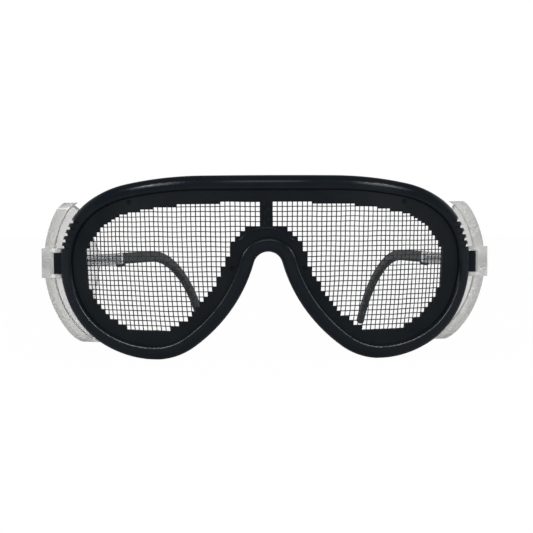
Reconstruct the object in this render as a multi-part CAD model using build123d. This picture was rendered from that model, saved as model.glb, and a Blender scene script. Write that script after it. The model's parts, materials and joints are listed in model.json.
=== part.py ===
"""Mesh safety goggles: a wrapped black front with a woven wire screen, clear side shields and sliding ear pieces.

Millimetres. X runs across the face, Y from the front towards the ears, Z up from the table. The goggles stand on
the two lower lobes of the rim and on the tips of the ear hooks. The pieces are drawn with the middle of the front at
X = 0 and its foremost point at Y = 0, and are moved at the end so that the origin is the middle of the footprint.
"""
from build123d import *
import os
from math import acos, cos, degrees, radians, sin, sqrt

os.makedirs("parts", exist_ok=True)

overrun = 1.0

# The front's outline, seen from ahead
front_half_width = 78.9
front_height = 67.1
top_flat_share = 0.301
outline_shares = [(0.661, 0.959), (0.837, 0.877), (0.999, 0.556), (0.943, 0.263), (0.783, 0.076), (0.539, 0.0),
                  (0.343, 0.072), (0.200, 0.230), (0.068, 0.521)]
nose_top_share = 0.5887
rest_flat_cut = 0.15

# The front bends about an upright axis behind the face
wrap_radius = 110.0
rim_width = 5.2
rim_depth = 6.0
rim_outer_round = 3.0
rim_crease_round = 1.1
ledge_width = 1.5
ledge_depth = 1.8

# Vent notches in each outer upper edge, each with a shallow groove that runs in from its foot
vent_count = 5
vent_pitch = 2.45
vent_height = 1.1
vent_depth = 1.3
vent_drop = 16.5
groove_height = 0.5
groove_depth = 0.7
groove_length = 2.4

# The lens border is pressed into the rim, and the wire screen runs through it
border_width = 3.4
border_drop = 1.3
border_fit = 0.05
border_side_share = 0.965
brow_reach = 16.8
brow_drop = 1.4
nose_in_left = 0.6
nose_in_right = 1.2
nose_rise = 0.4
screen_bite = 2.6
screen_drop = 2.2
screen_thick = 0.9
screen_fit = 0.03
web_cells = 2.4
web_shift = -0.65
mark_radius = 0.9
mark_depth = 0.6
mark_top_share = 0.645
mark_nose_share = 0.5

# The woven wire; the modelled sheet has every second wire
wire_width = 0.45
cell_pitch = 1.814
cells_per_window = 2
first_window_column = 1
solid_edge_columns = 3
row_start = 6.87

# The upright wires bow in towards the nose below the brow, all of them but those next to the web
bow_reach = 3.1
bow_height = 48.0
bow_top_drop = 9.4
bow_start = 12.0
bow_full = 30.0
bow_passes = 4

# The hinge: its pin stands in line with the front's outermost edge, and behind it
temple_height = 34.6
pin_x = front_half_width
pin_behind_edge = 5.65
pin_y = wrap_radius - sqrt(wrap_radius ** 2 - front_half_width ** 2) + pin_behind_edge
lug_half_height = 4.0
lug_radius = 2.6
lug_length = 4.6
lug_round = 0.5
hinge_gap = 0.25
screw_radius = 1.1
screw_running = 0.06
screw_seat_fit = 0.02
screw_head_radius = 1.9
screw_head_height = 0.8
screw_slot_width = 0.5
screw_slot_depth = 0.4
head_pocket_gap = 0.15

# The clear side shield with its hinge fork and temple bar; lengths run back from the hinge pin
fork_half_height = 5.75
fork_out = 7.3
fork_ahead = 4.0
fork_behind = 9.0
fork_inboard = 0.5
fork_round = 1.6
cheek_radius = 3.9
rim_gap = 0.35
bar_out = 4.4
bar_width = 4.5
bar_height = 4.8
bar_end = 52.3
bar_round = 0.7
shield_out = 5.8
shield_barrel = 36.0
shield_crown = 0.0
shield_wall = 1.5
shield_top = 23.7
shield_bottom = 30.5
shield_front = 5.0
shield_front_bow = 1.5
shield_back = 38.0
shield_mid_share = 0.55
shield_top_bulge_share = 0.72
shield_bottom_bulge_share = 0.74
shield_corner = 3.0
lip_width = 4.0
lip_thick = 1.3

# The sliding wire with its bead and bush
bore_radius = 1.45
bore_start = 10.5
wire_radius = 0.65
wire_start = 14.0
wire_fit = 0.02
wire_running = 0.08
bead_running = 0.08
bead_length = 3.0
slide_travel = 9.0
slide_reserve = 0.3
bush_spigot_radius = 1.8
bush_spigot_length = 3.0
bush_flange = 1.7
bush_fit = 0.02

# The ear piece
sheath_gap = 0.3
sheath_width = 2.9
sheath_height = 4.8
sheath_round = 1.1
sheath_straight = 31.7
hook_radius = 42.3
hook_lean = 9.5
tip_round = 1.2
tip_rest_cut = 0.5
wire_short_of_tip = 9.0
thumb_length = 2.2
thumb_drop = 1.2
thumb_side = 0.4

# How far each temple is folded in from straight back, as it stands
rest_fold_left = 23.2
rest_fold_right = 12.7


def arc_chain(points, heading):
    """Arcs from point to point, each leaving the way the last one arrived."""
    arcs = []
    for start, end in zip(points, points[1:]):
        arc = TangentArc(start, end, tangent=heading)
        arcs.append(arc)
        heading = arc % 1
    return arcs


def front_outline():
    """The front's outline as a face: X to the right, Z as the face's own Y."""
    lift = -rest_flat_cut
    reach = front_height - lift
    nose_height = front_height * nose_top_share
    start = (front_half_width * top_flat_share, front_height)
    points = [start] + [(front_half_width * x, lift + reach * z) for x, z in outline_shares]
    arcs = arc_chain(points, (1, 0))
    flank = arcs[-1]
    centre, radius = flank.arc_center, flank.radius
    rise = nose_height - centre.Y
    nose_radius = (centre.X ** 2 + rise ** 2 - radius ** 2) / (2 * (rise + radius))
    nose_centre = Vector(0, nose_height - nose_radius)
    touch = nose_centre + (centre - nose_centre) * (nose_radius / (nose_radius + radius))
    arcs[-1] = TangentArc(points[-2], (touch.X, touch.Y), tangent=arcs[-2] % 1)
    mirrored = [arc.mirror(Plane.YZ) for arc in arcs]
    nose = ThreePointArc((touch.X, touch.Y), (0, nose_height), (-touch.X, touch.Y))
    top = Line((-start[0], start[1]), start)
    return make_face([top] + arcs + [nose] + mirrored)


def upright(face, length=wrap_radius):
    """A face drawn from ahead, carried back along Y through the whole front."""
    drawn = Pos(0, -overrun, 0) * Plane.XZ.location * face
    return extrude(drawn, amount=-length)


def wrap_layer(front, back):
    """The curved layer between two depths behind the rim's front surface."""
    tall = 2 * front_height
    outer = Cylinder(wrap_radius - front, tall)
    inner = Cylinder(wrap_radius - back, tall + overrun)
    return Pos(0, wrap_radius, front_height / 2) * (outer - inner)


def wrap_y(x, depth):
    """Where a layer at this depth lies along Y at a place across the face."""
    return wrap_radius - sqrt((wrap_radius - depth) ** 2 - x ** 2)


def inset(face, amount):
    """The outline drawn in all round."""
    return offset(face, amount=-amount, kind=Kind.ARC)


def span_x(face, z):
    """The lowest and highest X of a face along a level line on its right half."""
    line = Line((0, z), (2 * front_half_width, z))
    hits = [v.X for part in line.intersect(face) for v in part.vertices()]
    return min(hits), max(hits)


def span_z(face, x):
    """The lowest and highest Z of a face along an upright line, or none where the line misses it."""
    line = Line((x, -front_height), (x, 2 * front_height))
    hits = [v.Y for part in line.intersect(face) or [] for v in part.vertices()]
    return (min(hits), max(hits)) if hits else None


def both_sides(shape):
    """A right-hand shape and its mirror image."""
    return [shape, mirror(shape, Plane.YZ)]


def block(x0, x1, y0, y1, z0, z1):
    """A box between named limits."""
    return Pos((x0 + x1) / 2, (y0 + y1) / 2, (z0 + z1) / 2) * Box(x1 - x0, y1 - y0, z1 - z0)


def lug():
    """The right end lug: the hinge tongue, rounded about the pin."""
    tongue = block(pin_x - lug_radius, pin_x + lug_radius, pin_y - lug_length, pin_y,
                   temple_height - lug_half_height, temple_height + lug_half_height)
    corner = tongue.edges().filter_by(Axis.Z).group_by(Axis.Y)[0].sort_by(Axis.X)[-1]
    tongue = fillet(corner, lug_round)
    eye = Pos(pin_x, pin_y, temple_height) * Cylinder(lug_radius, 2 * lug_half_height)
    return tongue + eye


def hinge_recess():
    """The room in the back of the rim in which the right fork turns."""
    room = cheek_radius + rim_gap
    half = fork_half_height + rim_gap
    behind = wrap_y(front_half_width, rim_depth) + overrun
    back = block(pin_x - room, pin_x + room, pin_y, behind, temple_height - half, temple_height + half)
    return Pos(pin_x, pin_y, temple_height) * Cylinder(room, 2 * half) + back


def front_edges(rim, outline, outer):
    """The edges of the rim's front surface, along its outside or along its crease."""
    chosen = []
    border_line = outline.wires()[0]
    for edge in rim.edges():
        gaps = [abs(sqrt(p.X ** 2 + (p.Y - wrap_radius) ** 2) - wrap_radius) for p in (edge @ 0, edge @ 0.5, edge @ 1)]
        middle = edge @ 0.5
        near = border_line.distance_to(Vertex(middle.X, middle.Z, 0))
        if max(gaps) < screen_fit and (near < rim_width / 2) == outer:
            chosen.append(edge)
    return chosen


def front_frame(outline):
    """The moulded front: rim, ledge behind the lens border, nose arch, lugs and vents."""
    ring = upright(outline - inset(outline, rim_width + ledge_width)) & wrap_layer(0, rim_depth)
    rebate = upright(inset(outline, rim_width)) & wrap_layer(-overrun, rim_depth - ledge_depth)
    rim = ring - rebate
    rim = fillet(front_edges(rim, outline, True), rim_outer_round)
    rim = fillet(front_edges(rim, outline, False), rim_crease_round)
    root = block(pin_x - lug_radius, pin_x, 0, pin_y, temple_height - lug_half_height, temple_height + lug_half_height)
    root = root & rim
    for cut in both_sides(hinge_recess()):
        rim -= cut
    for piece in both_sides(lug() + root):
        rim += piece
    floor = Box(4 * front_half_width, 4 * wrap_radius, front_height, align=(Align.CENTER, Align.CENTER, Align.MAX))
    rim -= floor
    skin = wrap_layer(-overrun, groove_depth)
    for number in range(vent_count):
        z = front_height - vent_drop - number * vent_pitch
        notch_x = span_x(outline, z)[1] - vent_depth
        foot = z - vent_height / 2
        notch = block(notch_x, notch_x + front_half_width, -wrap_radius, wrap_radius, foot, foot + vent_height)
        groove = block(notch_x - groove_length, notch_x + vent_depth, -wrap_radius, wrap_radius,
                       foot, foot + groove_height) & skin
        for cut in both_sides(notch) + both_sides(groove):
            rim -= cut
    hole = Pos(pin_x, pin_y, temple_height) * Cylinder(screw_radius + screw_seat_fit, 2 * fork_half_height)
    for cut in both_sides(hole):
        rim -= cut
    return rim


def across(steps, z):
    """Where the wire this many cells from the middle of the web stands at a height, across the bent screen."""
    flat = steps * cell_pitch
    share = min(max((flat - bow_start) / (bow_full - bow_start), 0), 1)
    drop = max(front_height - bow_top_drop - z, 0)
    return wrap_radius * sin((flat - bow_reach * share * (drop / bow_height) ** 2) / wrap_radius)


def lens_opening(inner, nose_in):
    """The smooth outline of a lens's opening, as the right lens has it."""
    lowered = Pos(0, -brow_drop) * inner + Rectangle(2 * brow_reach, 4 * front_height)
    return inner & lowered & (Pos(nose_in, nose_rise) * inner)


def opening_columns(opening):
    """A lens's open cells: for each column its place, its lowest whole row and its highest half row."""
    columns = []
    for number in range(int(front_half_width / cell_pitch)):
        left = web_cells / 2 + number
        low = high = front_height / 2
        for _ in range(bow_passes):
            at_foot = span_z(opening, across(left + 0.5, low))
            at_top = span_z(opening, across(left + 0.5, high))
            if at_foot is None or at_top is None:
                break
            low, high = at_foot[0], at_top[1]
        bottom = int((low - row_start) / cell_pitch + 1)
        top = int(2 * (high - row_start) / cell_pitch) / 2
        if at_foot and at_top and top > bottom:
            columns.append((left, bottom, top))
    return columns


def row_z(row):
    """Height of a level wire."""
    return row_start + row * cell_pitch


def stepped_opening(columns):
    """The lens opening as a face whose edge steps round whole cells."""
    upper, lower = [], []
    for left, bottom, top in columns:
        for side in (left, left + 1):
            upper.append((across(side, row_z(top)), row_z(top)))
            lower.append((across(side, row_z(bottom)), row_z(bottom)))
    ring = upper + lower[::-1]
    corners = [p for p, q in zip(ring, ring[-1:] + ring[:-1]) if p != q]
    return make_face(Polyline(*corners, close=True))


def window_faces(columns):
    """The gaps of the modelled sheet: one for each whole block of cells inside the opening."""
    faces = []
    half = wire_width / 2
    stop = len(columns) - solid_edge_columns - cells_per_window + 1
    for start in range(first_window_column, stop, cells_per_window):
        group = columns[start:start + cells_per_window]
        bottom = max(c[1] for c in group)
        top = int(min(c[2] for c in group))
        bottom += bottom % cells_per_window
        left, right = group[0][0], group[-1][0] + 1
        for row in range(bottom, top - cells_per_window + 1, cells_per_window):
            low, high = row_z(row) + half, row_z(row + cells_per_window) - half
            faces.append(make_face(Polyline(
                (across(left, low) + half, low), (across(right, low) - half, low),
                (across(right, high) - half, high), (across(left, high) + half, high), close=True)))
    return faces


def mark_places(outline):
    """The middles of the four round mould marks, on the middle line of the border."""
    band = inset(outline, rim_width + border_width / 2)
    top_x = front_half_width * mark_top_share
    nose_z = front_height * mark_nose_share
    return [(top_x, span_z(band, top_x)[1]), (span_x(band, nose_z)[0], nose_z)]


def lens_border(outline, right_columns, left_columns):
    """The band moulded round the wire, with the web between the eyes."""
    band = inset(outline, rim_width + border_fit)
    band -= Pos(web_shift, 0) * stepped_opening(right_columns)
    band -= Pos(web_shift, 0) * mirror(stepped_opening(left_columns), Plane.YZ)
    back = rim_depth - ledge_depth - border_fit
    border = upright(band) & wrap_layer(border_drop, back)
    groove = upright(inset(outline, rim_width + border_width - screen_bite - screen_fit))
    border -= groove & wrap_layer(screen_drop - screen_fit, screen_drop + screen_thick + screen_fit)
    for x, z in mark_places(outline):
        pit = Pos(x, wrap_y(x, border_drop) + mark_depth, z) * Rot(90, 0, 0) * Cylinder(
            mark_radius, front_height / 2, align=(Align.CENTER, Align.CENTER, Align.MIN))
        for cut in both_sides(pit):
            border -= cut
    return border


def wire_screen(outline, right_columns, left_columns):
    """The wire sheet, bent with the front, holed inside both openings."""
    sheet = inset(outline, rim_width + border_width - screen_bite)
    windows = window_faces(right_columns) + [mirror(face, Plane.YZ) for face in window_faces(left_columns)]
    print("gaps in the wire screen:", len(windows))
    sheet -= [Pos(web_shift, 0) * face for face in windows]
    return upright(sheet) & wrap_layer(screen_drop, screen_drop + screen_thick)


def shield_side_face():
    """The shield's outline from the side: its own X runs back from the pin, its own Y up."""
    bow = -shield_front + shield_front_bow
    front = ThreePointArc((-shield_front, -shield_bottom), (bow, (shield_top - shield_bottom) / 2),
                          (-shield_front, shield_top))
    half_bar = bar_height / 2
    middle = -shield_front + (shield_front + shield_back) * shield_mid_share
    upper = ThreePointArc((-shield_front, shield_top), (middle, shield_top * shield_top_bulge_share),
                          (shield_back, half_bar))
    lower = ThreePointArc((shield_back, -half_bar), (middle, -shield_bottom * shield_bottom_bulge_share),
                          (-shield_front, -shield_bottom))
    back = Line((shield_back, half_bar), (shield_back, -half_bar))
    face = make_face([front, upper, back, lower])
    corners = face.vertices().group_by(Axis.X)[0]
    return fillet(corners, shield_corner)


def barrel(inner_drop):
    """The layer of the shield's barrel from its outer skin inwards."""
    length = 3 * (shield_back + shield_front)
    ring = Cylinder(shield_barrel, length) - Cylinder(shield_barrel - inner_drop, length + overrun)
    return Pos(shield_out - shield_barrel, 0, shield_crown) * Rot(90, 0, 0) * ring


def side_shield():
    """The right shield about its own hinge pin: fork, barrel wall with its front lip, and the bored temple bar."""
    face = shield_side_face()
    thick = 2 * shield_barrel
    stand = Plane.YZ.location
    wall = extrude(stand * face, amount=thick) + extrude(stand * face, amount=-shield_barrel / 2)
    wall = wall & barrel(shield_wall)
    strip = face - Pos(lip_thick, 0) * face
    lip = extrude(stand * strip, amount=thick) + extrude(stand * strip, amount=-shield_barrel / 2)
    lip = lip & barrel(lip_width)
    fork = block(rim_gap, fork_out, -fork_ahead, fork_behind, -fork_half_height, fork_half_height)
    fork = fillet(fork.edges().filter_by(Axis.Z).group_by(Axis.X)[-1], fork_round)
    knuckle = block(-fork_inboard, fork_out - fork_round, 0, fork_behind, -fork_half_height, fork_half_height)
    knuckle += Cylinder(cheek_radius, 2 * fork_half_height)
    bar = block(bar_out - bar_width / 2, bar_out + bar_width / 2, fork_behind - overrun, bar_end,
                -bar_height / 2, bar_height / 2)
    bar = fillet(bar.edges().filter_by(Axis.Y), bar_round)
    shield = wall + lip + fork + knuckle + bar
    pocket_height = lug_half_height + hinge_gap
    pocket_radius = lug_radius + hinge_gap
    shield -= block(-fork_out, pocket_radius, -2 * fork_ahead, pocket_radius, -pocket_height, pocket_height)
    shield -= Cylinder(screw_radius + screw_running, 4 * fork_half_height)
    head = Cylinder(screw_head_radius + head_pocket_gap, 2 * screw_head_height + 2 * head_pocket_gap)
    shield -= Pos(0, 0, fork_half_height) * head
    along = Rot(-90, 0, 0)
    bore = along * Cylinder(bore_radius, bar_end, align=(Align.CENTER, Align.CENTER, Align.MIN))
    shield -= Pos(bar_out, bore_start, 0) * bore
    seat = along * Cylinder(bush_spigot_radius, bar_end, align=(Align.CENTER, Align.CENTER, Align.MIN))
    shield -= Pos(bar_out, bar_end - bush_spigot_length, 0) * seat
    return shield


def block_cylinder(radius, low, high):
    """An upright cylinder between two heights."""
    return Pos(0, 0, low) * Cylinder(radius, high - low, align=(Align.CENTER, Align.CENTER, Align.MIN))


def lying_cylinder(radius, start, end):
    """A cylinder along the temple bar's bore."""
    rod = Cylinder(radius, end - start, align=(Align.CENTER, Align.CENTER, Align.MIN))
    return Pos(bar_out, start, 0) * Rot(-90, 0, 0) * rod


def hinge_screw():
    """Slotted screw, head in the fork's upper cheek."""
    top = fork_half_height - screw_head_height
    shank = block_cylinder(screw_radius, -fork_half_height, top)
    head = block_cylinder(screw_head_radius, top, fork_half_height)
    slot = Pos(0, 0, fork_half_height) * Box(4 * screw_head_radius, screw_slot_width, 2 * screw_slot_depth)
    return shank + head - slot


def bar_bush():
    """The flanged bush in the end of the bar."""
    flange = block(bar_out - bar_width / 2, bar_out + bar_width / 2, bar_end, bar_end + bush_flange,
                   -bar_height / 2, bar_height / 2)
    flange = fillet(flange.edges().filter_by(Axis.Y), bar_round)
    spigot = lying_cylinder(bush_spigot_radius - bush_fit, bar_end - bush_spigot_length, bar_end)
    bore = lying_cylinder(wire_radius + wire_running, 0, 2 * bar_end)
    return flange + spigot - bore


def slide_bead():
    """The bead on the wire: it stops at the bush when the ear piece is drawn right out."""
    end = bar_end - bush_spigot_length - slide_travel - slide_reserve
    bead = lying_cylinder(bore_radius - bead_running, end - bead_length, end)
    bead = fillet(bead.edges(), bead_running)
    return bead - lying_cylinder(wire_radius + wire_fit, 0, bar_end)


def hook_turn():
    """The angle that brings the tip of the hook down to the table."""
    drop = (temple_height + tip_rest_cut - sheath_width / 2 * sin(radians(hook_lean))) / cos(radians(hook_lean))
    return degrees(acos((hook_radius - drop) / (hook_radius - sheath_height / 2)))


def hook_path(start, short=0.0):
    """The ear piece's centre line before it leans: straight back, then curving down."""
    bend = bar_end + bush_flange + sheath_gap + sheath_straight
    turn = radians(hook_turn() - degrees(short / hook_radius))
    straight = Line((0, start, 0), (0, bend, 0))
    half = turn / 2
    middle = (0, bend + hook_radius * sin(half), -hook_radius * (1 - cos(half)))
    end = (0, bend + hook_radius * sin(turn), -hook_radius * (1 - cos(turn)))
    return Wire([straight, ThreePointArc((0, bend, 0), middle, end)])


def lean(shape):
    """Turns the ear piece about the bar's axis, so that its hook leans in, and carries it to the bar."""
    return Pos(bar_out, 0, 0) * Rot(0, hook_lean, 0) * shape


def temple_wire():
    """The wire: straight in the bar, and on round the hook inside the sheath."""
    path = hook_path(wire_start, wire_short_of_tip)
    section = Plane(origin=path @ 0, z_dir=path % 0) * Circle(wire_radius)
    return lean(sweep(section, path=path))


def ear_piece():
    """The sheath with its thumb step, bored for the wire."""
    start = bar_end + bush_flange + sheath_gap
    path = hook_path(start)
    plane = Plane(origin=path @ 0, x_dir=(1, 0, 0), z_dir=path % 0)
    section = plane * RectangleRounded(sheath_width, sheath_height, sheath_round)
    sheath = sweep(section, path=path)
    tip_face = sheath.faces().sort_by(Axis.Z)[0]
    sheath = fillet(tip_face.edges(), tip_round)
    half = sheath_width / 2 + thumb_side
    thumb = block(-half, half, start, start + thumb_length, -sheath_height / 2 - thumb_drop, sheath_height / 2)
    thumb = fillet(thumb.edges().filter_by(Axis.Y), sheath_round)
    sheath += thumb
    bore_path = hook_path(start - overrun, wire_short_of_tip - overrun)
    bore = Plane(origin=bore_path @ 0, z_dir=bore_path % 0) * Circle(wire_radius + wire_fit)
    return lean(sheath - sweep(bore, path=bore_path))


def place(shape, side):
    """Carries a right-hand temple piece from its pin to the goggles, folded as the temple stands."""
    fold = rest_fold_right if side > 0 else rest_fold_left
    turned = Rot(0, 0, fold) * shape
    placed = Pos(pin_x, pin_y, temple_height) * turned
    return placed if side > 0 else mirror(placed, Plane.YZ)


def trimmed(shape):
    """Cuts a tip flat where it stands on the table."""
    floor = Box(4 * front_half_width, 4 * wrap_radius, front_height, align=(Align.CENTER, Align.CENTER, Align.MAX))
    return shape - Pos(0, pin_y, 0) * floor


outline = front_outline()
inner = scale(inset(outline, rim_width + border_width), by=(border_side_share, 1, 1))
right_columns = opening_columns(lens_opening(inner, nose_in_right))
left_columns = opening_columns(lens_opening(inner, nose_in_left))

nodes = {
    "front_frame": front_frame(outline),
    "lens_border": lens_border(outline, right_columns, left_columns),
    "wire_screen": wire_screen(outline, right_columns, left_columns),
}
screw = Pos(pin_x, pin_y, temple_height) * hinge_screw()
temple_pieces = {
    "side_shield": side_shield(),
    "bar_bush": bar_bush(),
    "temple_wire": temple_wire(),
    "slide_bead": slide_bead(),
    "ear_piece": ear_piece(),
}
for side, name in ((1, "right"), (-1, "left")):
    nodes["hinge_screw_" + name] = screw if side > 0 else mirror(screw, Plane.YZ)
    for piece, shape in temple_pieces.items():
        nodes[piece + "_" + name] = trimmed(place(shape, side))

middle = Compound(list(nodes.values())).bounding_box().center()
print("drawing origin to footprint middle:", round(middle.X, 3), round(middle.Y, 3))
for name, shape in nodes.items():
    export_step(Pos(-middle.X, -middle.Y, 0) * shape, "parts/" + name + ".step")
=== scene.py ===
# %% [markdown]
# # Mesh safety goggles
# A black wrapped front carries one bent sheet of woven wire. Clear cupped shields fold on it at the sides,
# and black ear hooks draw out of their clear bars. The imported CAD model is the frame: every object is in
# metres, the table is at z = 0, and each piece goes where the CAD says. What Blender starts with, such as
# its own cube, is taken away first.

# %% Load the frame
import json
import math

import bpy
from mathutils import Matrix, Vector
from mathutils.bvhtree import BVHTree

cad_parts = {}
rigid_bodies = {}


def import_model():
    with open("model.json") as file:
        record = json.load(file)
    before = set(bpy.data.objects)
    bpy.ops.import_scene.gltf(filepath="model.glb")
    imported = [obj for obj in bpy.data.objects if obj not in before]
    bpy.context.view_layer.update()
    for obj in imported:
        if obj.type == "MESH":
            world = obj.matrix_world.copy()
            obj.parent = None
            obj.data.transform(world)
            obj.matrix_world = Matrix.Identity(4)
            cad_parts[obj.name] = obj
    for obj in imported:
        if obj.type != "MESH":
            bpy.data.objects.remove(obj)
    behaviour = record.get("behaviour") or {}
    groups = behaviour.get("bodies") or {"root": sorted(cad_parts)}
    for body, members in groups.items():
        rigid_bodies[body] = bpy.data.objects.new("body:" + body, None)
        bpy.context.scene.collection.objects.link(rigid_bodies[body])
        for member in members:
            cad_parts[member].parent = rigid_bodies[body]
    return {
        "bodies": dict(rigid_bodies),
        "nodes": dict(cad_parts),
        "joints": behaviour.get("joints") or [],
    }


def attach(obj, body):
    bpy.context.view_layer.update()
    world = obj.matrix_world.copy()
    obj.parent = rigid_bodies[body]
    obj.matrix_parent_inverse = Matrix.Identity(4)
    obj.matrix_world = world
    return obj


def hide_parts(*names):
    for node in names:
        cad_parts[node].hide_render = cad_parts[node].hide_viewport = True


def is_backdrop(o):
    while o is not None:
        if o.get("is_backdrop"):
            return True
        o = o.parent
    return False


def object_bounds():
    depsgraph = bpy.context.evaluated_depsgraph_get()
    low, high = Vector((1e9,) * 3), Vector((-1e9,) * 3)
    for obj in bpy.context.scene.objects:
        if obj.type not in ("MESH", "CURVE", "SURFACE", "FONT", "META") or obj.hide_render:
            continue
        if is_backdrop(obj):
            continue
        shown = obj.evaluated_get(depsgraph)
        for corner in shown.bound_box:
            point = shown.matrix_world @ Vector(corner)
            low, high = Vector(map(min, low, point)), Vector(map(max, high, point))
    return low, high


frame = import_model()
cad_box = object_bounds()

MM = 0.001
own = set(frame["nodes"].values()) | set(frame["bodies"].values())
for stray in [thing for thing in bpy.data.objects if thing not in own]:
    bpy.data.objects.remove(stray)
print("CAD nodes:", len(frame["nodes"]))

# %% [markdown]
# The joints give the places of the two hinge pins. The middle of the front lies halfway between them, and
# its foremost point a fixed way ahead of them, so the drawing's own origin can be found again.

# %% Find the middle of the front
joints = {joint["name"]: joint for joint in frame["joints"]}
left_pin, right_pin = (Vector(joints[side + "_temple_fold"]["pos_m"]) for side in ("left", "right"))
pin_setback = 39.003 * MM
front_x = (left_pin.x + right_pin.x) / 2
front_y = left_pin.y - pin_setback
print("front middle at", round(front_x, 5), round(front_y, 5))

# %% [markdown]
# The picture was taken from about 450 mm away and 51 mm above the table, with the goggles turned a little
# and the lens pointed slightly down, aside and askew. A camera in the same place lets render and picture be
# laid over each other. It could be placed by eye, but fitting its angles to the outline of the front is
# more exact.

# %% Camera
camera_distance = 450.0 * MM
camera_height = 51.2 * MM
camera_lens = 84.9
camera_near = 10.0 * MM
camera_turn = math.radians(1.75)
camera_aim = math.radians(0.084)
camera_dip = math.radians(2.153)
camera_tilt = math.radians(0.25)
eye = bpy.data.objects.new("camera", bpy.data.cameras.new("camera"))
eye.data.lens = camera_lens
eye.data.clip_start = camera_near
eye.location = (front_x - camera_distance * math.sin(camera_turn),
                front_y - camera_distance * math.cos(camera_turn), camera_height)
eye.rotation_euler = (math.pi / 2 - camera_dip, camera_tilt, camera_aim - camera_turn)
bpy.context.scene.collection.objects.link(eye)
bpy.context.scene.camera = eye
print("camera at", [round(value, 4) for value in eye.location])

# %% [markdown]
# Node trees are long to write by hand. One helper adds a node, sets its options and fills its inputs. An
# input takes a plain value, or another node's output, which is then linked. The helpers for maths, blends
# and ranges are built on it. A Mix node keeps sockets for values and for colours under the same names, so
# they are told apart by their numbers.

# %% Helpers for any node tree
VALUE_A, VALUE_B = 2, 3
COLOUR_A, COLOUR_B, COLOUR_RESULT = 6, 7, 2


def add(tree, kind, inputs=None, **options):
    """A new node with its options set and its inputs filled or linked."""
    node = tree.nodes.new(kind)
    for name, value in options.items():
        setattr(node, name, value)
    for key, value in (inputs or {}).items():
        if isinstance(value, bpy.types.NodeSocket):
            tree.links.new(value, node.inputs[key])
        else:
            node.inputs[key].default_value = value
    return node


def calc(tree, operation, *values):
    """The result of one maths node."""
    return add(tree, "ShaderNodeMath", dict(enumerate(values)), operation=operation).outputs[0]


def blend_value(tree, mask, low, high):
    """A value between two others, by a mask."""
    return add(tree, "ShaderNodeMix", {"Factor": mask, VALUE_A: low, VALUE_B: high}).outputs[0]


def blend_colour(tree, mask, low, high):
    """A colour between two others, by a mask."""
    mix = add(tree, "ShaderNodeMix", {"Factor": mask, COLOUR_A: low, COLOUR_B: high}, data_type="RGBA")
    return mix.outputs[COLOUR_RESULT]


def spread(tree, value, low, high, start=0.0, end=1.0):
    """A value moved from the range start to end into the range low to high."""
    return add(tree, "ShaderNodeMapRange", {"Value": value, "From Min": start, "From Max": end,
                                            "To Min": low, "To Max": high}).outputs[0]


# %% [markdown]
# The white of the picture is a bright backdrop, not bright light. Camera rays and rays through the clear
# plastic see it white at strength 1, and the light that falls on the goggles stays plain. Gloss rays see it
# white only behind the goggles. Ahead of them, and steeply above and below, the room is dark to gloss, which
# is why the black rim mirrors so little.

# %% World
WHITE = (1, 1, 1, 1)
room_light = 0.62
gloss_ahead, gloss_behind = 0.04, 1.0
gloss_level, gloss_steep = 1.0, 0.15
turning_white, all_white = -0.1, 0.6
still_level, all_steep = 0.15, 0.55

world = bpy.data.worlds.new("studio")
bpy.context.scene.world = world
world.use_nodes = True
room = world.node_tree
room.nodes.clear()
direction = add(room, "ShaderNodeSeparateXYZ", {0: add(room, "ShaderNodeTexCoord").outputs["Generated"]})
behind = spread(room, direction.outputs["Y"], gloss_ahead, gloss_behind, turning_white, all_white)
slope = calc(room, "ABSOLUTE", direction.outputs["Z"])
level = spread(room, slope, gloss_level, gloss_steep, still_level, all_steep)
rays = add(room, "ShaderNodeLightPath").outputs
gloss_or_light = blend_value(room, rays["Is Glossy Ray"], room_light, calc(room, "MULTIPLY", behind, level))
seen = calc(room, "MAXIMUM", rays["Is Camera Ray"], rays["Is Transmission Ray"])
strength = blend_value(room, seen, gloss_or_light, 1.0)
backdrop = add(room, "ShaderNodeBackground", {"Color": WHITE, "Strength": strength})
add(room, "ShaderNodeOutputWorld", {"Surface": backdrop.outputs[0]})
print("world", world.name, len(room.nodes), "nodes")

# %% [markdown]
# The table is a wide white sheet. Its material mixes plain white paint, which takes the shadow, with a glow
# that camera rays and rays through the clear plastic see. In the gloss of the goggles it is a grey sheet, so
# the underside of the rim stays dark.

# %% Table
table_half = 3.0
glow_part = 0.975
paint_white, paint_in_gloss = (0.82, 0.82, 0.82, 1), (0.35, 0.35, 0.35, 1)
corners = [(across * table_half, along * table_half, 0)
           for across, along in ((-1, -1), (1, -1), (1, 1), (-1, 1))]
table_mesh = bpy.data.meshes.new("table")
table_mesh.from_pydata(corners, [], [(0, 1, 2, 3)])
table = bpy.data.objects.new("table", table_mesh)
bpy.context.scene.collection.objects.link(table)

paper = bpy.data.materials.new("white_table")
paper.use_nodes = True
tree = paper.node_tree
tree.nodes.clear()
rays = add(tree, "ShaderNodeLightPath").outputs
seen = calc(tree, "MAXIMUM", rays["Is Camera Ray"], rays["Is Transmission Ray"])
glow = add(tree, "ShaderNodeEmission", {"Color": WHITE, "Strength": 1.0})
shade = blend_colour(tree, rays["Is Glossy Ray"], paint_white, paint_in_gloss)
paint = add(tree, "ShaderNodeBsdfDiffuse", {"Color": shade})
sheet = add(tree, "ShaderNodeMixShader", {"Fac": calc(tree, "MULTIPLY", seen, glow_part),
                                          1: paint.outputs[0], 2: glow.outputs[0]})
add(tree, "ShaderNodeOutputMaterial", {"Surface": sheet.outputs[0]})
table_mesh.materials.append(paper)
table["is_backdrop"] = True
print("table", 2 * table_half, "m wide")

# %% [markdown]
# Three soft area lamps shape the black plastic, one high ahead and one at each side. A small one beside each
# side lamp sharpens the glints on the rim. One large lamp would be simpler, but a wrapped glossy rim shows
# its form only in the narrow reflections of separate lamps.

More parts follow.
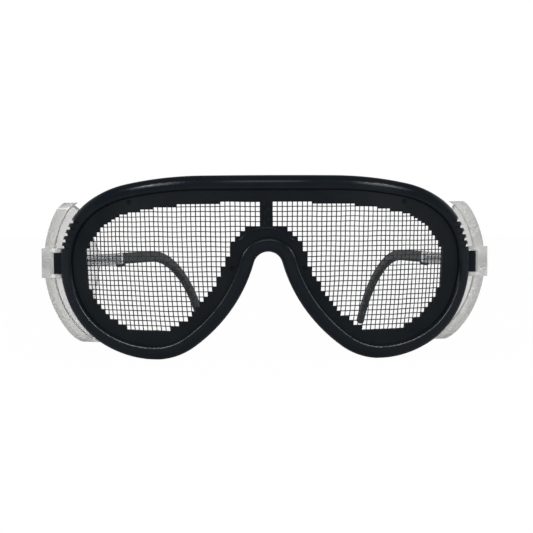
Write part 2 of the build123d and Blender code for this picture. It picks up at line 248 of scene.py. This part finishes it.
# %% Lamps
lamp_aim = Vector((0, front_y, 40.0 * MM))
lamp_plan = {            # metres across, behind the front and up; metres wide and high; watts
    "top_lamp": ((0.0, -0.65, 0.42), (0.42, 0.24), 1.2),
    "left_lamp": ((-0.7, -0.5, 0.45), (0.35, 0.35), 2.6),
    "right_lamp": ((0.7, -0.45, 0.35), (0.3, 0.3), 2.0),
    "left_glint_lamp": ((-0.69, -0.43, 0.40), (0.06, 0.05), 0.9),
    "right_glint_lamp": ((0.69, -0.43, 0.40), (0.16, 0.04), 0.8),
}
for name, ((across, behind_front, up), size, power) in lamp_plan.items():
    lamp = bpy.data.objects.new(name, bpy.data.lights.new(name, "AREA"))
    lamp.data.shape = "RECTANGLE"
    lamp.data.size, lamp.data.size_y = size
    lamp.data.energy = power
    lamp.location = (across, front_y + behind_front, up)
    lamp.rotation_euler = (lamp_aim - lamp.location).to_track_quat("-Z", "Y").to_euler()
    bpy.context.scene.collection.objects.link(lamp)
print(len(lamp_plan), "lamps")

# %% [markdown]
# Moulded plastic is never even: it has a fine spark texture from the mould, hands leave cloudy smudges, and
# use leaves fine scratches. Painted pictures could carry these, but noise from nodes has no seams and stays
# sharp from near. Each effect is a shader group, built once, and every material places it with its own sizes.

# %% A shader group with named sockets
def shader_group(name, inputs, outputs):
    """An empty shader group, what its named inputs give, and its named outputs to link to."""
    group = bpy.data.node_groups.new(name, "ShaderNodeTree")
    for socket, value in inputs.items():
        kind = "NodeSocketVector" if isinstance(value, tuple) else "NodeSocketFloat"
        group.interface.new_socket(socket, in_out="INPUT", socket_type=kind).default_value = value
    for socket in outputs:
        group.interface.new_socket(socket, in_out="OUTPUT", socket_type="NodeSocketFloat")
    return group, group.nodes.new("NodeGroupInput").outputs, group.nodes.new("NodeGroupOutput").inputs


# %% Grain and smudges
NOISE_MIDDLE = 0.5

skin, given, wanted = shader_group(
    "moulded_skin", {"Grain Scale": 4000.0, "Smudge Scale": 60.0, "Smudge Contrast": 2.0},
    ("Grain", "Smudge"))
place = add(skin, "ShaderNodeTexCoord").outputs["Object"]
grain = add(skin, "ShaderNodeTexNoise", {"Vector": place, "Scale": given["Grain Scale"], "Detail": 3.0})
cloud = add(skin, "ShaderNodeTexNoise", {"Vector": place, "Scale": given["Smudge Scale"], "Detail": 5.0,
                                         "Roughness": 0.6})
centred = calc(skin, "SUBTRACT", cloud.outputs[0], NOISE_MIDDLE)
harder = calc(skin, "MULTIPLY_ADD", centred, given["Smudge Contrast"], NOISE_MIDDLE)
clean = add(skin, "ShaderNodeClamp", {"Value": harder})
skin.links.new(grain.outputs[0], wanted["Grain"])
skin.links.new(clean.outputs[0], wanted["Smudge"])
print(skin.name, len(skin.nodes), "nodes")

# %% Fine scratches
line_width = 0.03
patch_scale = 90.0
patch_bare, patch_worn = 0.62, 0.35

scuff, given, wanted = shader_group(
    "fine_scratches", {"Scale": 900.0, "Stretch": (1.0, 1.0, 12.0), "Cover": 0.35}, ("Scratch",))
place = add(scuff, "ShaderNodeTexCoord").outputs["Object"]
drawn = add(scuff, "ShaderNodeVectorMath", {0: place, 1: given["Stretch"]}, operation="MULTIPLY")
lines = add(scuff, "ShaderNodeTexNoise", {"Vector": drawn.outputs[0], "Scale": given["Scale"],
                                          "Detail": 2.0})
ridge = calc(scuff, "ABSOLUTE", calc(scuff, "SUBTRACT", lines.outputs[0], NOISE_MIDDLE))
thin = spread(scuff, ridge, 1.0, 0.0, 0.0, line_width)
patch = add(scuff, "ShaderNodeTexNoise", {"Vector": place, "Scale": patch_scale, "Detail": 2.0})
where = spread(scuff, patch.outputs[0], 0.0, 1.0, patch_bare, patch_worn)
covered = calc(scuff, "MULTIPLY", calc(scuff, "MULTIPLY", thin, where), given["Cover"])
scuff.links.new(covered, wanted["Scratch"])
print(scuff.name, len(scuff.nodes), "nodes")

# %% [markdown]
# Every finish is made in the same steps: an empty material, the shared effects with its own sizes, and then
# colour, roughness and relief joined to its own Principled shader. Each step is a small helper.

# %% Helpers for materials
def new_material(name):
    """An empty material, its tree and its own Principled shader."""
    made = bpy.data.materials.new(name)
    made.use_nodes = True
    tree = made.node_tree
    shader = next(node for node in tree.nodes if node.type == "BSDF_PRINCIPLED")
    return made, tree, shader


def skin_of(tree, grain, smudge, contrast):
    """The shared grain and smudges, with this material's own sizes."""
    sizes = {"Grain Scale": grain, "Smudge Scale": smudge, "Smudge Contrast": contrast}
    node = add(tree, "ShaderNodeGroup", sizes, node_tree=skin)
    return node.outputs["Grain"], node.outputs["Smudge"]


def scratches_of(tree, scale, stretch, cover):
    """The shared scratches, with this material's own sizes."""
    sizes = {"Scale": scale, "Stretch": stretch, "Cover": cover}
    return add(tree, "ShaderNodeGroup", sizes, node_tree=scuff).outputs["Scratch"]


def dulled(tree, mask, gloss, dull, scratch, share):
    """Roughness from gloss to dull by a mask, and a share more where there is a scratch."""
    return calc(tree, "ADD", spread(tree, mask, gloss, dull), calc(tree, "MULTIPLY", scratch, share))


def finish_surface(tree, shader, colour, roughness, height, depth):
    """Joins colour, roughness and relief to a Principled shader."""
    tree.links.new(colour, shader.inputs["Base Color"])
    tree.links.new(roughness, shader.inputs["Roughness"])
    bump = add(tree, "ShaderNodeBump", {"Height": height, "Distance": depth, "Strength": 1.0})
    tree.links.new(bump.outputs[0], shader.inputs["Normal"])


def wear(made, *node_names):
    """Puts a material on CAD nodes."""
    for node_name in node_names:
        for slot in frame["nodes"][node_name].material_slots:
            slot.material = made
    print(made.name, "on", *node_names)


# %% [markdown]
# The rim is hard black plastic from a polished mould: a deep blue-black with sharp small highlights, softened
# by handling. The border is the same black with a duller skin, and the sheaths of the ear hooks are softer
# and greyer. They could be three materials drawn by hand, but only their numbers differ, so one function
# makes all three.

# %% Black plastics
def black_plastic(name, dark, worn, gloss, dull, grain, depth, specular):
    """Moulded black plastic: smudges change its colour and gloss a little, and its grain stands up."""
    made, tree, shader = new_material(name)
    fine, smudge = skin_of(tree, grain=grain, smudge=55.0, contrast=2.4)
    scratch = scratches_of(tree, scale=700.0, stretch=(1.0, 1.0, 9.0), cover=0.4)
    roughness = dulled(tree, smudge, gloss, dull, scratch, share=0.12)
    finish_surface(tree, shader, blend_colour(tree, smudge, dark, worn), roughness, fine, depth)
    shader.inputs["Specular IOR Level"].default_value = specular
    return made


rim_black = black_plastic(
    "rim_black", dark=(0.0045, 0.0070, 0.0105, 1), worn=(0.0070, 0.0098, 0.0125, 1),
    gloss=0.14, dull=0.26, grain=3200.0, depth=0.010 * MM, specular=0.16)
border_black = black_plastic(
    "border_black", dark=(0.0036, 0.0056, 0.0080, 1), worn=(0.0060, 0.0084, 0.0102, 1),
    gloss=0.34, dull=0.50, grain=5200.0, depth=0.020 * MM, specular=0.12)
sheath_black = black_plastic(
    "sheath_black", dark=(0.0150, 0.0190, 0.0212, 1), worn=(0.0250, 0.0295, 0.0322, 1),
    gloss=0.42, dull=0.58, grain=2600.0, depth=0.012 * MM, specular=0.35)
wear(rim_black, "front_frame")
wear(border_black, "lens_border")
wear(sheath_black, "ear_piece_left", "ear_piece_right")

# %% [markdown]
# The shields look clear through the wall, but grey along the front lip, the hinge box and the bar, where the
# light's way through the plastic is long. This grey is painted shade in the plastic's colour. Absorption
# inside the plastic could do this too, but it would give no hold on each part by itself. So a group finds
# these parts: by how far a place lies behind the hinge pin along the temple, and for the bar by its height as
# well.

# %% The long way through
# How much painted shade the lip and the wall by the hinge get; the same mask also dulls their gloss.
lip_shade_and_haze, wall_shade_and_haze = 0.6, 0.4

long_way, given, wanted = shader_group(
    "long_way_through",
    {"Lip End": -2.4 * MM, "Wall Start": 2.0 * MM, "Clear From": 20.0 * MM,
     "Bar Height": left_pin.z, "Bar Half": 2.5 * MM, "Bar Start": 9.5 * MM},
    ("Haze", "Bar"))
place = add(long_way, "ShaderNodeTexCoord").outputs["Object"]
behind_pins = []
for side, pin in (("left", left_pin), ("right", right_pin)):
    along = Vector(joints[side + "_ear_slide"]["axis"])
    from_pin = add(long_way, "ShaderNodeVectorMath", {0: place, 1: pin}, operation="SUBTRACT").outputs[0]
    dot = add(long_way, "ShaderNodeVectorMath", {0: from_pin, 1: along}, operation="DOT_PRODUCT")
    behind_pins.append(dot.outputs["Value"])
xyz = add(long_way, "ShaderNodeSeparateXYZ", {0: place}).outputs
back = blend_value(long_way, calc(long_way, "GREATER_THAN", xyz["X"], 0.0), *behind_pins)
lip = spread(long_way, back, lip_shade_and_haze, 0.0, given["Lip End"], given["Wall Start"])
wall = spread(long_way, back, wall_shade_and_haze, 0.0, given["Wall Start"], given["Clear From"])
off_bar = calc(long_way, "ABSOLUTE", calc(long_way, "SUBTRACT", xyz["Z"], given["Bar Height"]))
bar_high = calc(long_way, "LESS_THAN", off_bar, given["Bar Half"])
bar_long = calc(long_way, "GREATER_THAN", back, given["Bar Start"])
long_way.links.new(calc(long_way, "ADD", lip, wall), wanted["Haze"])
long_way.links.new(calc(long_way, "MULTIPLY", bar_high, bar_long), wanted["Bar"])
print(long_way.name, len(long_way.nodes), "nodes")

# %% [markdown]
# Clear plastic is mostly transmission: light goes in, bends by its index of refraction and comes out. Plain
# alpha would be cheaper, but nothing behind it would bend. The moulding has faint waves, and a little grease
# from the hands greys it.

# %% Clear plastic
# The lip and bar colours are painted shade, the grey of the long way through the plastic.
wall_colour = (0.98, 0.98, 0.97, 1)
lip_shaded_colour = (0.80, 0.80, 0.79, 1)
bar_shaded_colour = (0.54, 0.56, 0.57, 1)
grease_colour, grease_share = (0.55, 0.55, 0.54, 1), 0.06
transmission, refraction = 0.7, 1.49

shield_clear, tree, shader = new_material("shield_clear")
waves, smudge = skin_of(tree, grain=260.0, smudge=45.0, contrast=2.0)
scratch = scratches_of(tree, scale=500.0, stretch=(1.0, 1.0, 7.0), cover=0.5)
masks = add(tree, "ShaderNodeGroup", node_tree=long_way).outputs
# Painted shade: the clear colour greys on the lip, by the hinge and along the bar.
shaded_clear = blend_colour(tree, masks["Haze"], wall_colour, lip_shaded_colour)
shaded_clear = blend_colour(tree, masks["Bar"], shaded_clear, bar_shaded_colour)
colour = blend_colour(tree, calc(tree, "MULTIPLY", smudge, grease_share), shaded_clear, grease_colour)
roughness = dulled(tree, masks["Haze"], gloss=0.08, dull=0.26, scratch=scratch, share=0.06)
finish_surface(tree, shader, colour, roughness, waves, depth=0.006 * MM)
shader.inputs["Transmission Weight"].default_value = transmission
shader.inputs["IOR"].default_value = refraction
wear(shield_clear, "side_shield_left", "side_shield_right")

# %% [markdown]
# A pale bush closes each bar. It is plain moulded plastic, and its light colour is a painted highlight: the
# bright end of the bar. Smudges and grain are enough for it.

# %% Pale bush
# Painted highlight: the bush's light colour stands for the bright end of the bar.
highlight_pale, highlight_paler = (0.62, 0.64, 0.66, 1), (0.72, 0.73, 0.74, 1)
bush_pale, tree, shader = new_material("bush_pale")
fine, smudge = skin_of(tree, grain=5000.0, smudge=120.0, contrast=1.5)
roughness = spread(tree, smudge, low=0.3, high=0.45)
finish_surface(tree, shader, blend_colour(tree, smudge, highlight_pale, highlight_paler), roughness, fine, depth=0.020 * MM)
wear(bush_pale, "bar_bush_left", "bar_bush_right")

# %% [markdown]
# The metals are drawn wire and turned screws. Their fine lines could be cut as grooves, but at this size
# noise that is stretched hard one way looks the same. The shared scratches do it, with more cover, and each
# metal stretches them its own way.

# %% Metals
def drawn_metal(name, dark, light, gloss, dull, stretch):
    """Metal with the fine lines of its making."""
    made, tree, shader = new_material(name)
    _, smudge = skin_of(tree, grain=6000.0, smudge=160.0, contrast=1.8)
    scratch = scratches_of(tree, scale=1500.0, stretch=stretch, cover=0.8)
    roughness = dulled(tree, smudge, gloss, dull, scratch, share=0.15)
    finish_surface(tree, shader, blend_colour(tree, smudge, dark, light), roughness, scratch,
                   depth=0.010 * MM)
    shader.inputs["Metallic"].default_value = 1.0
    return made


temple_steel = drawn_metal("temple_steel", dark=(0.10, 0.105, 0.11, 1), light=(0.16, 0.165, 0.17, 1),
                           gloss=0.28, dull=0.4, stretch=(9.0, 1.0, 9.0))
screw_steel = drawn_metal("screw_steel", dark=(0.45, 0.45, 0.46, 1), light=(0.6, 0.6, 0.61, 1),
                          gloss=0.22, dull=0.34, stretch=(1.0, 1.0, 9.0))
bead_brass = drawn_metal("bead_brass", dark=(0.13, 0.11, 0.08, 1), light=(0.20, 0.17, 0.12, 1),
                         gloss=0.25, dull=0.4, stretch=(1.0, 6.0, 1.0))
wear(temple_steel, "temple_wire_left", "temple_wire_right")
wear(screw_steel, "hinge_screw_left", "hinge_screw_right")
wear(bead_brass, "slide_bead_left", "slide_bead_right")

# %% [markdown]
# The screen is plain woven wire, 14 wires to the inch. The CAD model has it as one bent sheet with holes.
# Single round wires that pass over and under each other catch the light as the real cloth does, so here they
# replace the sheet. The upright wires bow in towards the nose lower down, and the whole cloth sits a little
# to one side of the middle.

# %% Sizes of the cloth
cell = 1.814 * MM
wire_radius = 0.20 * MM
bend_radius = 110.0 * MM
screen_depth = 2.65 * MM
web_half_cells = 1.2
web_shift = -0.65 * MM
row_start = 6.87 * MM
row_count = 30
column_count = 40
bow_reach = 3.1 * MM
bow_height = 48.0 * MM
bow_top = 57.7 * MM
bow_start = 12.0 * MM
bow_full = 30.0 * MM
print("wires to the inch:", round(25.4 * MM / cell, 2))

# %% [markdown]
# The cloth is cut to follow the border, whose opening steps round whole cells. Where a wire can be seen could
# be read off the drawing by hand, but it is surer to ask the border itself: rays cast at it from ahead pass
# through the opening and stop on the plastic.

# %% Where the cloth is open
look_from = 10.0 * MM
border = frame["nodes"]["lens_border"].data
border_shape = BVHTree.FromPolygons([vertex.co for vertex in border.vertices],
                                    [face.vertices for face in border.polygons])


def bowed(flat, z):
    """Where a place across the flat sheet lies once the upright wires bow in towards the nose."""
    share = min(max((abs(flat) - bow_start) / (bow_full - bow_start), 0), 1)
    return flat - math.copysign(bow_reach * share * (max(bow_top - z, 0) / bow_height) ** 2, flat)


def hits_border(start, way):
    """Whether a ray from a place meets the border."""
    return border_shape.ray_cast(start, Vector(way))[0] is not None


def seen_through(flat, z):
    """Whether a place in the flat sheet lies in the opening, with border above and below it."""
    x = web_shift + bend_radius * math.sin(bowed(flat, z) / bend_radius)
    y = bend_radius - math.sqrt((bend_radius - screen_depth) ** 2 - x ** 2)
    in_sheet = Vector((front_x + x, front_y + y, z))
    ahead = Vector((front_x + x, front_y - look_from, z))
    framed = hits_border(in_sheet, (0, 0, -1)) and hits_border(in_sheet, (0, 0, 1))
    return framed and not hits_border(ahead, (0, 1, 0))


# %% [markdown]
# Each wire is first drawn flat, as one straight line for each stretch of it that can be seen. A wire is there
# where a cell on either side of it is open, and each end runs on a little under the border. Neighbouring
# wires start on opposite sides of the cloth, which makes the weave.

# %% Plan of the wires
probes_per_cell = 8
probe = cell / probes_per_cell
into_next_cell = 0.4 * cell
tuck = 1.2 * MM


def over_or_under(number):
    """1 and -1 by turns."""
    return 1 - 2 * (number % 2)


def open_runs(flags):
    """The first and last place of each unbroken run of open places."""
    runs, start = [], None
    for place, is_open in flags + [(None, False)]:
        if is_open and start is None:
            start = place
        if is_open:
            last = place
        elif start is not None:
            runs.append((start, last))
            start = None
    return runs


def level_plan():
    """The flat ends and the turn of every level wire, each end as across and up."""
    ends, half_width = [], column_count * cell
    steps = [-half_width + probe * number for number in range(int(2 * half_width / probe) + 1)]
    for row in range(row_count):
        z = row_start + row * cell
        low, high = z - into_next_cell, z + into_next_cell
        for first, last in open_runs([(flat, seen_through(flat, low) or seen_through(flat, high))
                                      for flat in steps]):
            ends.append(((first - tuck, z), (last + tuck, z), over_or_under(row)))
    return ends


def upright_plan():
    """The flat ends and the turn of every upright wire, each end as across and up."""
    ends = []
    steps = [row_start + probe * number for number in range(row_count * probes_per_cell)]
    for flat, number in [(side * (web_half_cells + number) * cell, number)
                         for side in (-1, 1) for number in range(column_count)]:
        left, right = flat - into_next_cell, flat + into_next_cell
        for first, last in open_runs([(z, seen_through(left, z) or seen_through(right, z))
                                      for z in steps]):
            ends.append(((flat, first - tuck), (flat, last + tuck), over_or_under(number)))
    return ends


# %% [markdown]
# Every wire follows the same rule, which is what Geometry Nodes are good at. The tree cuts each flat line
# into short steps, lets it wave over and under the wires that cross it, bows it towards the nose as the real
# cloth does, and bends it round the face. A small circle is then swept along it. The first helpers are the
# rule itself, one for each of these moves.

# %% How a wire waves, bows and wraps
wobble_scale = 95.0
bow_power = 2.0


def wobbled(tree, given, flat):
    """A small uneven shift of a place, because no woven cloth is quite even."""
    noise = add(tree, "ShaderNodeTexNoise", {"Vector": flat, "Scale": wobble_scale, "Detail": 1.0})
    shift = add(tree, "ShaderNodeVectorMath", {0: noise.outputs["Color"], 1: (NOISE_MIDDLE,) * 3},
                operation="SUBTRACT")
    sized = add(tree, "ShaderNodeVectorMath", {0: shift.outputs[0], "Scale": given["Unevenness"]},
                operation="SCALE")
    return add(tree, "ShaderNodeSeparateXYZ", {0: sized.outputs[0]}).outputs


def waved(tree, given, across, up):
    """The depth of a place on a wire that passes over and under the wires that cross it."""
    out = calc(tree, "DIVIDE", calc(tree, "ABSOLUTE", across), given["Cell"])
    cells_out = calc(tree, "SUBTRACT", out, given["Web Half Cells"])
    rows_up = calc(tree, "DIVIDE", calc(tree, "SUBTRACT", up, given["Row Start"]), given["Cell"])
    along = blend_value(tree, given["Level"], rows_up, cells_out)
    wave = calc(tree, "COSINE", calc(tree, "MULTIPLY", along, math.pi))
    turn = add(tree, "GeometryNodeInputNamedAttribute", {"Name": "parity"}, data_type="FLOAT")
    side = spread(tree, given["Level"], 1.0, -1.0)
    crimp = calc(tree, "MULTIPLY", calc(tree, "MULTIPLY", wave, turn.outputs["Attribute"]),
                 calc(tree, "MULTIPLY", side, given["Crimp"]))
    return calc(tree, "ADD", given["Depth"], crimp)


def bowed_in(tree, given, across, up):
    """The same rule as bowed(), in nodes."""
    share = spread(tree, calc(tree, "ABSOLUTE", across), 0.0, 1.0, given["Bow Start"], given["Bow Full"])
    drop = calc(tree, "MAXIMUM", calc(tree, "SUBTRACT", given["Bow Top"], up), 0.0)
    fall_in = calc(tree, "POWER", calc(tree, "DIVIDE", drop, given["Bow Height"]), bow_power)
    bow = calc(tree, "MULTIPLY", calc(tree, "MULTIPLY", given["Bow Reach"], share), fall_in)
    return calc(tree, "SUBTRACT", across, calc(tree, "MULTIPLY", calc(tree, "SIGN", across), bow))


def wrapped(tree, given, flat, shift, depth):
    """The x and y of a place once the sheet is bent round the face."""
    turned = calc(tree, "SINE", calc(tree, "DIVIDE", flat, given["Bend Radius"]))
    x = calc(tree, "ADD", calc(tree, "MULTIPLY", turned, given["Bend Radius"]), shift)
    x = calc(tree, "ADD", x, given["Web Shift"])
    reach = calc(tree, "SUBTRACT", given["Bend Radius"], depth)
    fall = calc(tree, "SQRT", calc(tree, "SUBTRACT", calc(tree, "MULTIPLY", reach, reach),
                                   calc(tree, "MULTIPLY", x, x)))
    y = calc(tree, "ADD", calc(tree, "SUBTRACT", given["Bend Radius"], fall), given["Front Y"])
    return calc(tree, "ADD", x, given["Middle X"]), y


# %% [markdown]
# The tree's inputs have names, so one tree can make the cloth, the relief on the web and the bead. A
# modifier's input is set by its identifier, which Blender gives when the socket is made, so they are kept.

# %% Named inputs of the weaving tree
tree_sizes = {
    "Cell": cell, "Wire Radius": wire_radius, "Crimp": wire_radius, "Depth": screen_depth,
    "Bend Radius": bend_radius, "Web Half Cells": web_half_cells, "Row Start": row_start, "Level": 0.0,
    "Middle X": front_x, "Front Y": front_y, "Unevenness": 0.45 * MM, "Bow Reach": bow_reach,
    "Bow Height": bow_height, "Bow Top": bow_top, "Bow Start": bow_start, "Bow Full": bow_full,
    "Web Shift": web_shift, "Ring Sides": 6,
}


def name_inputs(tree):
    """Makes the tree's inputs and its output, and gives the inputs' identifiers by name."""
    tree.interface.new_socket("Geometry", in_out="INPUT", socket_type="NodeSocketGeometry")
    names = {}
    for name, value in tree_sizes.items():
        kind = "NodeSocketInt" if isinstance(value, int) else "NodeSocketFloat"
        socket = tree.interface.new_socket(name, in_out="INPUT", socket_type=kind)
        socket.default_value = value
        names[name] = socket.identifier
    material = tree.interface.new_socket("Material", in_out="INPUT", socket_type="NodeSocketMaterial")
    names["Material"] = material.identifier
    tree.interface.new_socket("Geometry", in_out="OUTPUT", socket_type="NodeSocketGeometry")
    return names


# %% The weaving tree
steps_per_cell = 4


def weaving_tree():
    """The Geometry Nodes tree, and its inputs' identifiers by name."""
    tree = bpy.data.node_groups.new("woven_wires", "GeometryNodeTree")
    names = name_inputs(tree)
    given = tree.nodes.new("NodeGroupInput").outputs

    curves = add(tree, "GeometryNodeMeshToCurve", {"Mesh": given["Geometry"]})
    step = calc(tree, "MULTIPLY", given["Cell"], 1 / steps_per_cell)
    fine = add(tree, "GeometryNodeResampleCurve", {"Curve": curves.outputs[0], "Length": step},
               mode="LENGTH")

    flat = add(tree, "GeometryNodeInputPosition").outputs[0]
    parts = add(tree, "ShaderNodeSeparateXYZ", {0: flat}).outputs
    across, up = parts["X"], parts["Z"]
    shift = wobbled(tree, given, flat)
    depth = waved(tree, given, across, up)
    x, y = wrapped(tree, given, bowed_in(tree, given, across, up), shift["X"], depth)
    place = add(tree, "ShaderNodeCombineXYZ", {"X": x, "Y": y, "Z": calc(tree, "ADD", up, shift["Z"])})
    bent = add(tree, "GeometryNodeSetPosition", {"Geometry": fine.outputs[0],
                                                 "Position": place.outputs[0]})

    ring = add(tree, "GeometryNodeCurvePrimitiveCircle", {"Resolution": given["Ring Sides"],
                                                          "Radius": given["Wire Radius"]})
    swept = add(tree, "GeometryNodeCurveToMesh", {"Curve": bent.outputs[0],
                                                  "Profile Curve": ring.outputs[0], "Fill Caps": True})
    smooth = add(tree, "GeometryNodeSetShadeSmooth", {"Geometry": swept.outputs[0]})
    real = add(tree, "GeometryNodeRealizeInstances", {"Geometry": smooth.outputs[0]})
    painted = add(tree, "GeometryNodeSetMaterial", {"Geometry": real.outputs[0],
                                                    "Material": given["Material"]})
    add(tree, "NodeGroupOutput", {0: painted.outputs[0]})
    print(tree.name, len(tree.nodes), "nodes")
    return tree, names


weaver, weaver_inputs = weaving_tree()

# %% [markdown]
# A plan becomes a piece in three steps: its lines are drawn as loose edges, the tree is put on them as a
# modifier, and the result is taken as a plain mesh. The modifier could stay, but the export and the table of
# pieces need plain meshes.

# %% From plan to piece
def plan_mesh(name, ends):
    """The planned wires as loose edges, with each wire's turn for the tree to read."""
    points = [(across, 0, up) for start, end, _ in ends for across, up in (start, end)]
    mesh = bpy.data.meshes.new(name)
    mesh.from_pydata(points, [(2 * number, 2 * number + 1) for number in range(len(ends))], [])
    parity = mesh.attributes.new("parity", "FLOAT", "POINT")
    parity.data.foreach_set("value", [turn for _, _, turn in ends for _ in range(2)])
    made = bpy.data.objects.new(name, mesh)
    bpy.context.scene.collection.objects.link(made)
    return made


def bake(made):
    """Replaces a piece's modifier by the mesh that it makes, and counts its triangles."""
    graph = bpy.context.evaluated_depsgraph_get()
    mesh = bpy.data.meshes.new_from_object(made.evaluated_get(graph))
    made.modifiers.clear()
    made.data = mesh
    mesh.name = made.name
    mesh.calc_loop_triangles()
    return len(mesh.loop_triangles)


def weave(name, ends, made_of, sizes):
    """Bends and sweeps planned wires into one finished piece."""
    made = plan_mesh(name, ends)
    modifier = made.modifiers.new("weave", "NODES")
    modifier.node_group = weaver
    modifier[weaver_inputs["Material"]] = made_of
    for key, value in sizes.items():
        modifier[weaver_inputs[key]] = value
    triangles = bake(made)
    print(name, len(ends), "wires,", triangles, "triangles")
    return made


# %% [markdown]
# The wire is black lacquered steel: nearly black, a little glossy, with the lacquer worn thin in places. A
# metal shader would shine through everywhere, so it is a dark coat with lighter worn patches.

# %% Woven screen
lacquer, worn_thin = (0.010, 0.012, 0.015, 1), (0.030, 0.032, 0.036, 1)
wire_black, tree, shader = new_material("wire_black")
fine, smudge = skin_of(tree, grain=3500.0, smudge=220.0, contrast=2.6)
roughness = spread(tree, smudge, low=0.35, high=0.55)
finish_surface(tree, shader, blend_colour(tree, smudge, lacquer, worn_thin), roughness, fine,
               depth=0.010 * MM)
shader.inputs["Specular IOR Level"].default_value = 0.4

upright_wires = weave("upright_wires", upright_plan(), wire_black, {"Level": 0.0})
level_wires = weave("level_wires", level_plan(), wire_black, {"Level": 1.0})
for piece in (upright_wires, level_wires):
    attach(piece, "front")
    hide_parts("wire_screen")

# %% [markdown]
# In the web between the eyes the wire lies just under the plastic, and its weave shows as a low relief. Bump
# in the border's material could draw it, but then the mesh itself would be smooth there. The same tree makes
# it: short wires in the border's own black, of which only the outer skin stands proud of the web.

# %% Relief on the web
web_foot, web_head = 48.0 * MM, 57.6 * MM
web_edge = 1.1 * cell
web_wire_out = 0.45 * cell
relief = {"Depth": 1.42 * MM, "Crimp": 0.10 * MM, "Wire Radius": 0.30 * MM}

web_rows = [(row, row_start + row * cell) for row in range(row_count)
            if web_foot < row_start + row * cell < web_head]
web_levels = [((-web_edge, z), (web_edge, z), over_or_under(row)) for row, z in web_rows]
web_uprights = [((side * web_wire_out, web_foot), (side * web_wire_out, web_head), -side)
                for side in (-1, 1)]
for piece in (weave("web_relief_level", web_levels, border_black, {"Level": 1.0, **relief}),
              weave("web_relief_upright", web_uprights, border_black, {"Level": 0.0, **relief})):
    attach(piece, "front")

# %% [markdown]
# A thin moulded bead rounds the foot of the web, above the nose arch. Its arc is cut into short straight
# runs, and the same tree sweeps each as a thick smooth wire with no wave in it. They lie end to end, most of
# each sunk in the border, and read as one bead.

# %% Bead above the nose
arc_radius = 12.0 * MM
arc_top = 48.1 * MM
arc_half_turn = 0.9
arc_steps = 24
bead = {"Depth": 1.80 * MM, "Crimp": 0.0, "Wire Radius": 0.7 * MM, "Ring Sides": 24, "Unevenness": 0.0}

turns = [-arc_half_turn + 2 * arc_half_turn * number / arc_steps for number in range(arc_steps + 1)]
arc = [(arc_radius * math.sin(turn), arc_top - arc_radius * (1 - math.cos(turn))) for turn in turns]
arc_runs = [(start, end, 1) for start, end in zip(arc, arc[1:])]
nose_bead = weave("nose_bead", arc_runs, rim_black, bead)
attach(nose_bead, "front")

# %% [markdown]
# Last, the CAD model's box and the box of all that is made here are printed side by side; nothing made here
# should reach out of the first.

# %% Finish
scene = bpy.context.scene
scene.view_settings.view_transform = "Standard"
visual_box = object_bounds()
for title, box in (("CAD box", cad_box), ("visual box", visual_box)):
    print(title, [[round(value, 4) for value in corner] for corner in box])
